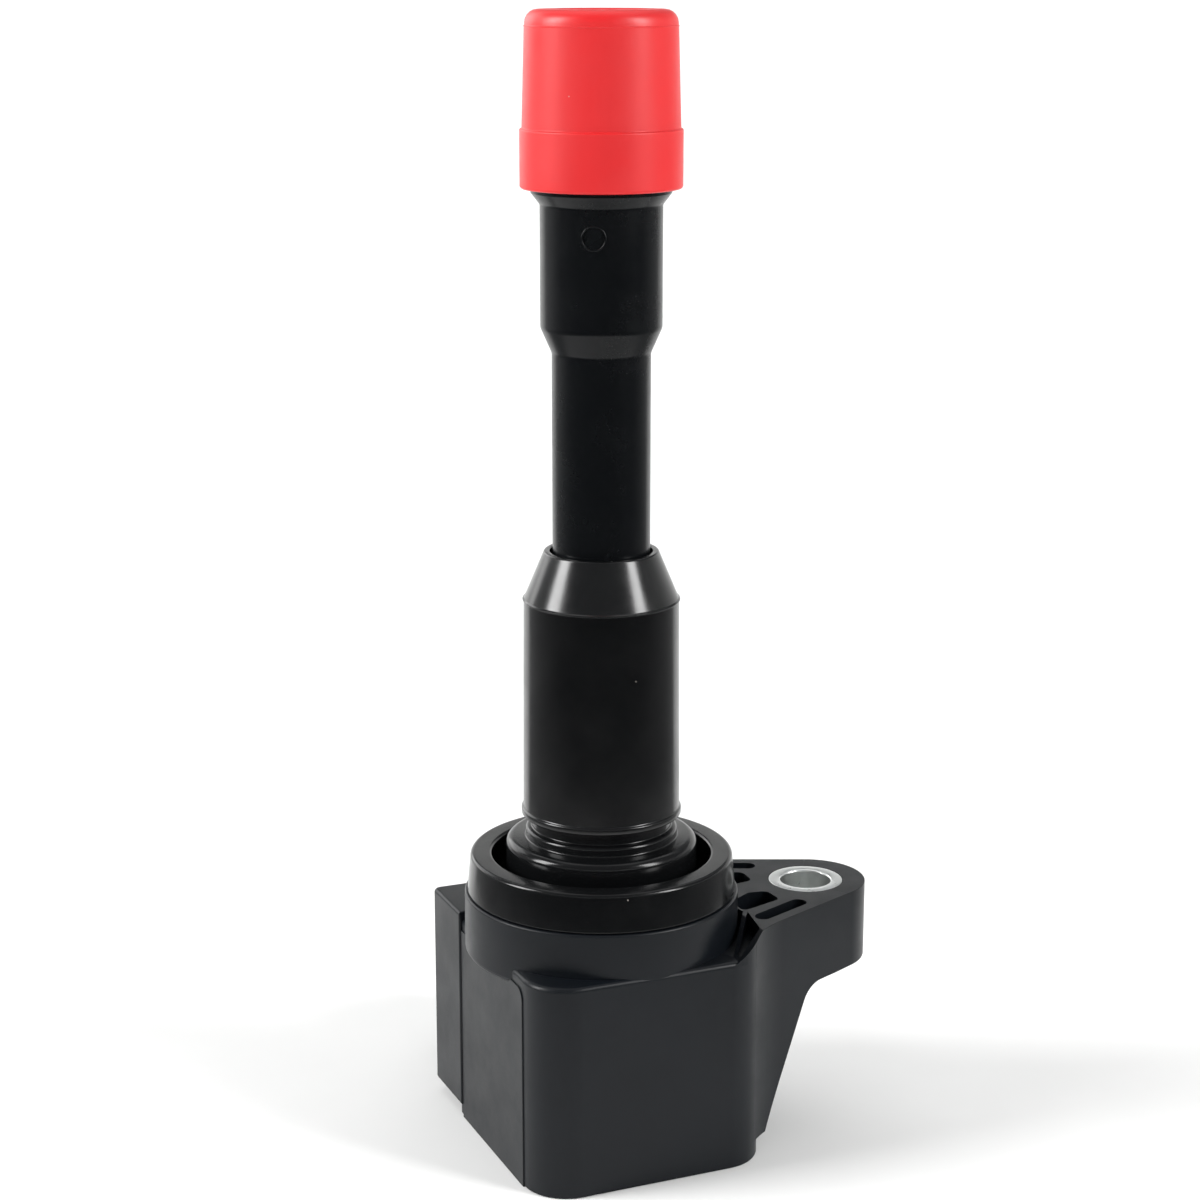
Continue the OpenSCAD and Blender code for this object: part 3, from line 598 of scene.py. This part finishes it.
# Black PBT from a spark-eroded mould: a satin skin with a fine even grain, slightly blue.
# The real grain of 0.05 mm is drawn at 0.3 mm, as fine as it can show
case_plastic = moulded_finish("black_glass_filled_pbt", "#0A0D11", "#0F1318", 0.36, 0.3, 0.004, 0.12,
                              specular=0.25)
give(case, case_plastic)
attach(case, "coil")
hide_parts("case")

# ---------------------------------------------------------------------------
# Mounting bushing: a short aluminium tube, turned and parted off, pressed into the ear
# so that the bolt clamps metal and not plastic.
bore_r = 3.5
bush_r = (bush_high.x - bush_low.x) / 2
bushing = turned(rounded([(bore_r, ear_foot, 0.3), (bush_r, ear_foot, 0.1), (bush_r, ear_top, 0.1),
                          (bore_r, ear_top, 0.3)], steps=3), 96)
for vertex in bushing.data.vertices:
    vertex.co.x += bolt_x
scale_down(bushing, "ear_bushing")

# Turned aluminium: bright, with the tool's fine rings on its faces and drawn lines in its bore.
# The tool's feed of 0.1 mm is drawn at 0.25 mm, as fine as it can show
aluminium = new_material("turned_aluminium")
spot = add_node(aluminium, "ShaderNodeTexCoord")
centred = add_node(aluminium, "ShaderNodeMapping", {"Location": (-bolt_x / 1000, 0, 0)},
                   {"Vector": spot.outputs["Object"]})
rings = add_node(aluminium, "ShaderNodeTexWave",
                 {"wave_type": "RINGS", "rings_direction": "Z", "Scale": 2 * pi / (20 * 0.00025),
                  "Distortion": 0.6, "Detail": 2}, {"Vector": centred.outputs[0]})
stretched = add_node(aluminium, "ShaderNodeMapping", {"Scale": (3000, 3000, 60)},
                     {"Vector": spot.outputs["Object"]})
lines = add_node(aluminium, "ShaderNodeTexNoise", {"Scale": 1, "Detail": 3},
                 {"Vector": stretched.outputs[0]})
both = add_node(aluminium, "ShaderNodeMath", {"operation": "ADD"},
                {0: rings.outputs["Fac"], 1: lines.outputs["Fac"]})
cut = add_node(aluminium, "ShaderNodeBump", {"Strength": 0.5, "Distance": 0.000004},
               {"Height": both.outputs[0]})
oxide = add_node(aluminium, "ShaderNodeTexNoise", {"Scale": 700, "Detail": 5},
                 {"Vector": spot.outputs["Object"]})
tone = add_node(aluminium, "ShaderNodeMix",
                {"data_type": "RGBA", 6: linear("#D6D9D8"), 7: linear("#EEF0EE")},
                {0: oxide.outputs["Fac"]})
dull = add_node(aluminium, "ShaderNodeMapRange", {"To Min": 0.2, "To Max": 0.42},
                {"Value": oxide.outputs["Fac"]})
shader = add_node(aluminium, "ShaderNodeBsdfPrincipled", {"Metallic": 1},
                  {"Base Color": tone.outputs[2], "Roughness": dull.outputs[0], "Normal": cut.outputs[0]})
add_node(aluminium, "ShaderNodeOutputMaterial", links={"Surface": shader.outputs[0]})
give(bushing, aluminium)
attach(bushing, "coil")
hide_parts("mount_bushing")

# ---------------------------------------------------------------------------
# Magnetic circuit: stacks of punched silicon steel, interlocked, with a thin sintered
# bias magnet glued across the gap at one end of the centre stack.


def show(node, material):
    """Gives a CAD node that stays as it is its finish."""
    give(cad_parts[node], material)


# Punched electrical steel: blue-grey oxide coating, bright along the cut edge of each sheet.
# Sheets are 0.35 mm thick and lie flat, so their edges are lines up the sides
laminations = new_material("laminated_electrical_steel")
spot = add_node(laminations, "ShaderNodeTexCoord")
sheets = add_node(laminations, "ShaderNodeTexWave",
                  {"wave_type": "BANDS", "bands_direction": "Z", "Scale": 2 * pi / (20 * 0.00035),
                   "Distortion": 0.3, "Detail": 1}, {"Vector": spot.outputs["Object"]})
stain = add_node(laminations, "ShaderNodeTexNoise", {"Scale": 400, "Detail": 5},
                 {"Vector": spot.outputs["Object"]})
coat = add_node(laminations, "ShaderNodeMix",
                {"data_type": "RGBA", 6: linear("#5C6068"), 7: linear("#7E828A")},
                {0: stain.outputs["Fac"]})
edge = add_node(laminations, "ShaderNodeMix", {"data_type": "RGBA", 6: linear("#44474D")},
                {0: sheets.outputs["Fac"], 7: coat.outputs[2]})
relief = add_node(laminations, "ShaderNodeBump", {"Strength": 0.8, "Distance": 0.00003},
                  {"Height": sheets.outputs["Fac"]})
shader = add_node(laminations, "ShaderNodeBsdfPrincipled", {"Metallic": 1, "Roughness": 0.42},
                  {"Base Color": edge.outputs[2], "Normal": relief.outputs[0]})
add_node(laminations, "ShaderNodeOutputMaterial", links={"Surface": shader.outputs[0]})
show("centre_core", laminations)
show("outer_core", laminations)

# Sintered magnet: dark grey, gritty, with worn brighter patches
magnet = new_material("sintered_magnet")
spot = add_node(magnet, "ShaderNodeTexCoord")
grit = add_node(magnet, "ShaderNodeTexNoise", {"Scale": 4000, "Detail": 4},
                {"Vector": spot.outputs["Object"]})
tone = add_node(magnet, "ShaderNodeMix", {"data_type": "RGBA", 6: linear("#2E2F32"), 7: linear("#4A4B4F")},
                {0: grit.outputs["Fac"]})
rough = add_node(magnet, "ShaderNodeBump", {"Strength": 0.7, "Distance": 0.00003},
                 {"Height": grit.outputs["Fac"]})
shader = add_node(magnet, "ShaderNodeBsdfPrincipled", {"Metallic": 0.6, "Roughness": 0.55},
                  {"Base Color": tone.outputs[2], "Normal": rough.outputs[0]})
add_node(magnet, "ShaderNodeOutputMaterial", links={"Surface": shader.outputs[0]})
show("core_magnet", magnet)

# ---------------------------------------------------------------------------
# Bobbins and windings: two natural PPE bobbins, the inner one wound with thick primary
# wire and the outer one, in sections, with hair-thin secondary wire.
bobbin = moulded_finish("natural_ppe", "#CFCAB9", "#DDD9CA", 0.42, 0.25, 0.004, 0.05, specular=0.5)
show("primary_bobbin", bobbin)
show("secondary_bobbin", bobbin)


def wound_wire(name, pitch, dark, light):
    """Enamelled copper wire wound round X: a rounded ridge for each turn, with painted shade in the groove
    between turns. pitch is in millimetres.
    """
    material = new_material(name)
    spot = add_node(material, "ShaderNodeTexCoord")
    turns = add_node(material, "ShaderNodeTexWave",
                     {"wave_type": "BANDS", "bands_direction": "X", "Scale": 2 * pi / (20 * pitch / 1000),
                      "Distortion": 0.4, "Detail": 1, "Detail Scale": 0.3}, {"Vector": spot.outputs["Object"]})
    lay = add_node(material, "ShaderNodeTexNoise", {"Scale": 300, "Detail": 3},
                   {"Vector": spot.outputs["Object"]})
    wire = add_node(material, "ShaderNodeMix", {"data_type": "RGBA", 6: linear(dark), 7: linear(light)},
                    {0: lay.outputs["Fac"]})
    # Painted shade: the wire's colour darkens to a dark brown in the groove between turns
    groove_shade = add_node(material, "ShaderNodeMix", {"data_type": "RGBA", 6: linear("#2A120A")},
                   {0: turns.outputs["Fac"], 7: wire.outputs[2]})
    ridge = add_node(material, "ShaderNodeBump", {"Strength": 0.9, "Distance": pitch / 3000},
                     {"Height": turns.outputs["Fac"]})
    shader = add_node(material, "ShaderNodeBsdfPrincipled",
                      {"Metallic": 0.9, "Roughness": 0.3, "Coat Weight": 0.6, "Coat Roughness": 0.12},
                      {"Base Color": groove_shade.outputs[2], "Normal": ridge.outputs[0]})
    add_node(material, "ShaderNodeOutputMaterial", links={"Surface": shader.outputs[0]})
    return material


# Copper wire under clear enamel: 0.5 mm in the primary. The secondary's 0.05 mm is drawn at 0.15 mm
thick_wire = wound_wire("enamelled_copper_wire", 0.5, "#A8572B", "#C97A45")
fine_wire = wound_wire("fine_enamelled_copper_wire", 0.15, "#7E3215", "#A04A24")
show("primary_winding", thick_wire)
show("secondary_winding", fine_wire)
show("primary_leads", thick_wire)

# ---------------------------------------------------------------------------
# Igniter: the switching chip in a transfer-moulded epoxy package on an aluminium heat
# plate, wired to the terminals. The high-voltage diode is moulded from the same epoxy.
show("igniter_heat_spreader", aluminium)
package = moulded_finish("epoxy_moulding_compound", "#1B1B1D", "#242426", 0.62, 0.15, 0.008, 0.05)
show("igniter_module", package)
show("hv_diode", package)
show("terminal_holder", moulded_finish("grey_pbt", "#3E4043", "#484A4D", 0.45, 0.25, 0.004, 0.05))

# ---------------------------------------------------------------------------
# Terminals: three blades stamped from tinned brass strip, coined to a point at the tip
# and bent up inside the head to meet the igniter's leads.

# Tinned brass strip: pale warm metal with rolling lines along its length, 0.2 mm apart
brass = new_material("tinned_brass")
spot = add_node(brass, "ShaderNodeTexCoord")
stretched = add_node(brass, "ShaderNodeMapping", {"Scale": (5000, 150, 5000)},
                     {"Vector": spot.outputs["Object"]})
rolling = add_node(brass, "ShaderNodeTexNoise", {"Scale": 1, "Detail": 3}, {"Vector": stretched.outputs[0]})
patch = add_node(brass, "ShaderNodeTexNoise", {"Scale": 500, "Detail": 4},
                 {"Vector": spot.outputs["Object"]})
tone = add_node(brass, "ShaderNodeMix", {"data_type": "RGBA", 6: linear("#B9A36A"), 7: linear("#D6CBA6")},
                {0: patch.outputs["Fac"]})
drawn = add_node(brass, "ShaderNodeBump", {"Strength": 0.4, "Distance": 0.000005},
                 {"Height": rolling.outputs["Fac"]})
dull = add_node(brass, "ShaderNodeMapRange", {"To Min": 0.18, "To Max": 0.4},
                {"Value": rolling.outputs["Fac"]})
shader = add_node(brass, "ShaderNodeBsdfPrincipled", {"Metallic": 1},
                  {"Base Color": tone.outputs[2], "Roughness": dull.outputs[0], "Normal": drawn.outputs[0]})
add_node(brass, "ShaderNodeOutputMaterial", links={"Surface": shader.outputs[0]})

blade_w = 2.3
blade_t = 0.64
for name in ("supply", "ground", "trigger"):
    blade_low, blade_high = box_mm(name + "_terminal")
    blade_x = (blade_low.x + blade_high.x) / 2
    foot = blade_low.z
    tip_y = blade_high.y
    back = blade_low.y
    profile = rounded([(back, foot, 0.8), (tip_y, foot), (tip_y, foot + blade_t),
                       (back + blade_t, foot + blade_t, 0.3), (back + blade_t, blade_high.z),
                       (back, blade_high.z)], steps=4)
    blade = plate(profile, blade_x - blade_w / 2, blade_x + blade_w / 2, "X")
    round_edges(blade, lambda a, b: both_at(1, tip_y)(a, b) and abs(a.z - b.z) > 0.1, 0.7, 1)
    round_edges(blade, lambda a, b: min(a.y, b.y) > tip_y - 0.75 and abs(a.z - b.z) < 0.01, 0.2, 2)
    scale_down(blade, name + "_blade")
    give(blade, brass)
    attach(blade, "coil")
    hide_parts(name + "_terminal")

# ---------------------------------------------------------------------------
# High-voltage path up the tower: a brass plate with a post, and a wire-wound ceramic
# resistor with a pressed brass cap on each end.
show("hv_terminal", brass)
show("resistor_caps", brass)

# Glazed ceramic: off-white, smooth, with faint pits
ceramic = moulded_finish("glazed_ceramic", "#D8D3C6", "#E5E1D6", 0.22, 0.4, 0.003, 0.1, specular=0.5)
show("resistor_rod", ceramic)

# ---------------------------------------------------------------------------
# Potting: black epoxy poured in at the foot after assembly. It wets the walls, so its
# face dips from them in a smooth meniscus and shines like glass.


def cad_copy(node):
    """A free copy of a CAD node, with a mesh of its own."""
    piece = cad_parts[node].copy()
    piece.data = piece.data.copy()
    piece.parent = None
    bpy.context.scene.collection.objects.link(piece)
    return piece


potting = cad_copy("potting")
pick(potting)
potting.scale = (1000, 1000, 1000)
bpy.ops.object.transform_apply(location=True, rotation=True, scale=True)
fill = box_mm("potting")[0].z
climb = 0.45
edit(potting)
bpy.ops.mesh.select_all(action="SELECT")
bpy.ops.mesh.remove_doubles(threshold=0.001)
bpy.ops.mesh.dissolve_limited(angle_limit=radians(2))
# The resin climbs the walls, then its face falls away from them less and less steeply
for level in (fill, fill + rear_foot):
    pick_faces(potting, lambda centre, normal: normal.z < -0.9 and abs(centre.z - level) < 0.05)
    bpy.ops.mesh.extrude_region_move(TRANSFORM_OT_translate={"value": (0, 0, -climb)})
    for width, dip in ((0.12, 0.22), (0.25, 0.13), (0.45, 0.07), (0.8, 0.03)):
        bpy.ops.mesh.inset(thickness=width, depth=-dip)
face_outwards()
potting.scale = (1, 1, 1)
scale_down(potting, "potting_resin", 60)

# Cast epoxy: near-black with a brown cast, very smooth, with slow ripples and small bubbles
resin = new_material("cast_epoxy")
spot = add_node(resin, "ShaderNodeTexCoord")
cloud = add_node(resin, "ShaderNodeTexNoise", {"Scale": 130, "Detail": 3},
                 {"Vector": spot.outputs["Object"]})
tone = add_node(resin, "ShaderNodeMix", {"data_type": "RGBA", 6: linear("#16130F"), 7: linear("#231D17")},
                {0: cloud.outputs["Fac"]})
bubbles = add_node(resin, "ShaderNodeTexVoronoi", {"Scale": 320}, {"Vector": spot.outputs["Object"]})
dimple = add_node(resin, "ShaderNodeMapRange", {"From Max": 0.12, "To Min": 0.6, "To Max": 1.0},
                  {"Value": bubbles.outputs["Distance"]})
ripple = add_node(resin, "ShaderNodeMath", {"operation": "ADD"},
                  {0: cloud.outputs["Fac"], 1: dimple.outputs[0]})
wavy = add_node(resin, "ShaderNodeBump", {"Strength": 0.5, "Distance": 0.0002},
                {"Height": ripple.outputs[0]})
shader = add_node(resin, "ShaderNodeBsdfPrincipled", {"Roughness": 0.12, "IOR": 1.55},
                  {"Base Color": tone.outputs[2], "Normal": wavy.outputs[0]})
add_node(resin, "ShaderNodeOutputMaterial", links={"Surface": shader.outputs[0]})
give(potting, resin)
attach(potting, "coil")
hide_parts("potting")

# ---------------------------------------------------------------------------
# Seal: black EPDM rubber, compression moulded. Its plug sits in the collar, its hollow
# ring presses into the mouth of the plug well and its pedestal hugs the tower.
ring_top = collar_top + 5.3
ledge = ring_top + 2.3
neck_top = ledge + 1.4
seal_top = seal_high.z
tower_r = 7.65
well_r = 12.9
well_floor = head_top + 3.1
neck_r = 10.15
pedestal_r = 9.35
seal = turned(rounded([(tower_r, head_top), (seat_r - 0.05, head_top, 0.3), (seat_r - 0.05, collar_top),
                       (collar_r - 0.35, collar_top, 0.3), (collar_r - 0.85, ring_top, 0.55),
                       (collar_r - 3.75, ring_top, 0.45), (collar_r - 3.9, well_floor, 0.8),
                       (well_r, well_floor, 0.8), (well_r - 0.1, ledge, 1.1), (neck_r, ledge, 0.25),
                       (neck_r, neck_top, 0.5), (pedestal_r, neck_top, 0.2), (pedestal_r, seal_top),
                       (tower_r, seal_top)], steps=5), 256)
scale_down(seal, "seal_ring")

# Moulded EPDM: satin black rubber from a polished mould
seal_rubber = moulded_finish("black_epdm", "#0B0C0D", "#101112", 0.17, 0.5, 0.003, 0.2)
give(seal, seal_rubber)
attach(seal, "coil")
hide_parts("seal_grommet")

# ---------------------------------------------------------------------------
# Barrel: a thick rubber sleeve pushed over the tower and the foot of the tube. Its lip
# stands proud at the foot, and the mould's parting line runs round under the cone.
barrel_low, barrel_high = box_mm("barrel_sleeve")
foot_z, cone_top = barrel_low.z, barrel_high.z
shoulder = cone_top - 6.5
barrel_r = 10.45
stem_r = 6.4
ledge_z = tower_top + 3.1
lip_r = barrel_r + 0.25
line_r = barrel_r - 0.07
grip_r = stem_r + 0.05
barrel = turned(rounded([(tower_r, foot_z), (lip_r, foot_z, 0.2), (lip_r, foot_z + 0.8, 0.2),
                         (barrel_r, foot_z + 1.05, 0.25), (barrel_r - 0.2, shoulder - 0.15, 0.05),
                         (line_r, shoulder - 0.05, 0.04), (line_r, shoulder + 0.05, 0.04),
                         (barrel_r - 0.3, shoulder + 0.2, 0.1), (7.5, cone_top, 0.3),
                         (stem_r + 0.35, cone_top, 0.15), (stem_r + 0.3, cone_top - 3),
                         (grip_r, cone_top - 3.3), (grip_r, ledge_z), (tower_r, ledge_z)], steps=4), 128)
scale_down(barrel, "barrel_rubber")

# Moulded silicone rubber, black: a little glossier than the plastic, and it holds more dust
sleeve_rubber = moulded_finish("black_silicone", "#090A0B", "#0E0F10", 0.2, 0.6, 0.002, 0.3, specular=0.45)
give(barrel, sleeve_rubber)
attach(barrel, "coil")
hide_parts("barrel_sleeve")

# ---------------------------------------------------------------------------
# Tube: a thin-walled moulding in black PBT, thin at the stem and thicker under the boot,
# where a flare stops the boot. Its bore holds the spring and the plug contact.
tube_low, tube_high = box_mm("stem_tube")
boot_low, boot_high = box_mm("boot_tip")
flare_top = boot_low.z
tube_top = flare_top - 2
tube_foot = tube_top - 15.6
stem_top = tube_foot - 3.3
tube_r = 7.85
stem_bore = 4.3
flare_r = tube_r + 1.15
spigot_r, spigot_bore = 8.4, 5.8
lip = tube_top - 5
lip_bore = 3.5
foot_r, foot_h = 7.6, 3
tube = turned(rounded([(stem_bore, tube_low.z), (foot_r, tube_low.z), (foot_r, tube_low.z + foot_h),
                       (stem_r, tube_low.z + foot_h),
                       (stem_r, stem_top, 1.2), (tube_r, tube_foot, 1.5), (tube_r, tube_top, 0.6),
                       (flare_r, flare_top - 0.5, 0.2), (flare_r, flare_top, 0.15), (spigot_r, flare_top),
                       (spigot_r, tube_high.z, 0.4), (spigot_bore, tube_high.z, 0.3),
                       (spigot_bore, lip + 3, 0.4), (lip_bore, lip + 1, 0.2), (lip_bore, lip, 0.1),
                       (stem_bore, lip)], steps=5), 128)

# Round cavity mark, left by a pin in the mould
mark_turn = radians(-120)
mark_z = tube_top - 3.6
bpy.ops.mesh.primitive_torus_add(major_segments=48, minor_segments=12, major_radius=1.5, minor_radius=0.12,
                                 location=(tube_r * cos(mark_turn), tube_r * sin(mark_turn), mark_z),
                                 rotation=(0, pi / 2, mark_turn))
mark = bpy.context.object
bpy.ops.object.transform_apply(location=True, rotation=True, scale=True)
combine(tube, mark, "UNION")
scale_down(tube, "plug_tube")

# Black PBT from a polished mould: smoother than the head
tube_plastic = moulded_finish("black_pbt", "#090B0D", "#0D0F11", 0.25, 0.5, 0.003, 0.15, specular=0.22)
give(tube, tube_plastic)
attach(tube, "coil")
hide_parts("stem_tube")

# ---------------------------------------------------------------------------
# Contact spring and plug contact: a coil of drawn steel wire pushes a turned brass cap
# against the lip in the tube, and the spark plug pushes it back.
spring = cad_copy("contact_spring")
spring.name = "coil_spring"
edit(spring)
bpy.ops.mesh.select_all(action="SELECT")
bpy.ops.mesh.remove_doubles(threshold=0.000001)
bpy.ops.mesh.tris_convert_to_quads()
bpy.ops.object.mode_set(mode="OBJECT")
finer = spring.modifiers.new("finer", "SUBSURF")
finer.levels = 1
finer.render_levels = 1
bpy.ops.object.modifier_apply(modifier=finer.name)
bpy.ops.object.shade_smooth()

# Drawn spring steel, zinc plated: fine lines and a faint blue cast
steel = new_material("plated_spring_steel")
spot = add_node(steel, "ShaderNodeTexCoord")
drawn = add_node(steel, "ShaderNodeTexNoise", {"Scale": 5000, "Detail": 4},
                 {"Vector": spot.outputs["Object"]})
tone = add_node(steel, "ShaderNodeMix", {"data_type": "RGBA", 6: linear("#9A9FA4"), 7: linear("#BFC4C9")},
                {0: drawn.outputs["Fac"]})
fine = add_node(steel, "ShaderNodeBump", {"Strength": 0.3, "Distance": 0.000004},
                {"Height": drawn.outputs["Fac"]})
shader = add_node(steel, "ShaderNodeBsdfPrincipled", {"Metallic": 1, "Roughness": 0.28},
                  {"Base Color": tone.outputs[2], "Normal": fine.outputs[0]})
add_node(steel, "ShaderNodeOutputMaterial", links={"Surface": shader.outputs[0]})
give(spring, steel)
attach(spring, "coil")
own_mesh(spring)
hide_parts("contact_spring")

contact_low, contact_high = box_mm("plug_contact")
contact_r = contact_high.x
boss_top = contact_low.z + 4
boss_r = 2.25
contact_top = contact_high.z
contact = turned(rounded([(0, contact_low.z), (boss_r, contact_low.z, 0.5), (boss_r, boss_top, 0.2),
                          (contact_r, boss_top, 0.3), (contact_r, contact_top, 0.35), (3, contact_top, 0.3),
                          (1.3, contact_top - 1.3, 0.4), (0, contact_top - 1.4)], steps=4), 64)
scale_down(contact, "plug_cap")
give(contact, brass)
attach(contact, "contact")
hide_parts("plug_contact")

# ---------------------------------------------------------------------------
# Boot: red silicone rubber, compression moulded and stretched over the tube's end. It
# has a thick band at its foot and a lighter crown that the spark plug is pushed into.
boot_top = boot_high.z
band_top = flare_top + 7.4
band_r = boot_high.x
crown_r = band_r - 0.7
boot_bore = 5.2
boot = turned(rounded([(spigot_r + 0.05, flare_top, 0.1), (band_r, flare_top, 0.4), (band_r, band_top, 0.22),
                       (band_r - 0.3, band_top + 0.12, 0.15), (crown_r + 0.03, boot_top - 2.15, 0.05),
                       (crown_r + 0.1, boot_top - 2.05, 0.04), (crown_r, boot_top - 1.95, 0.05),
                       (crown_r - 0.1, boot_top, 1.7), (boot_bore + 0.6, boot_top, 0.3),
                       (boot_bore, boot_top - 0.6, 0.3), (boot_bore, tube_high.z + 0.05),
                       (spigot_r + 0.05, tube_high.z + 0.05)], steps=5), 128)
scale_down(boot, "boot_silicone")

# Red silicone rubber: matte to satin, a little light goes into it, and it picks up pale dust
boot_rubber = moulded_finish("red_silicone", "#CE1A1E", "#D82023", 0.4, 0.6, 0.004, 0.3,
                             specular=0.5, soft=0.15)
give(boot, boot_rubber)
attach(boot, "coil")
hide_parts("boot_tip")
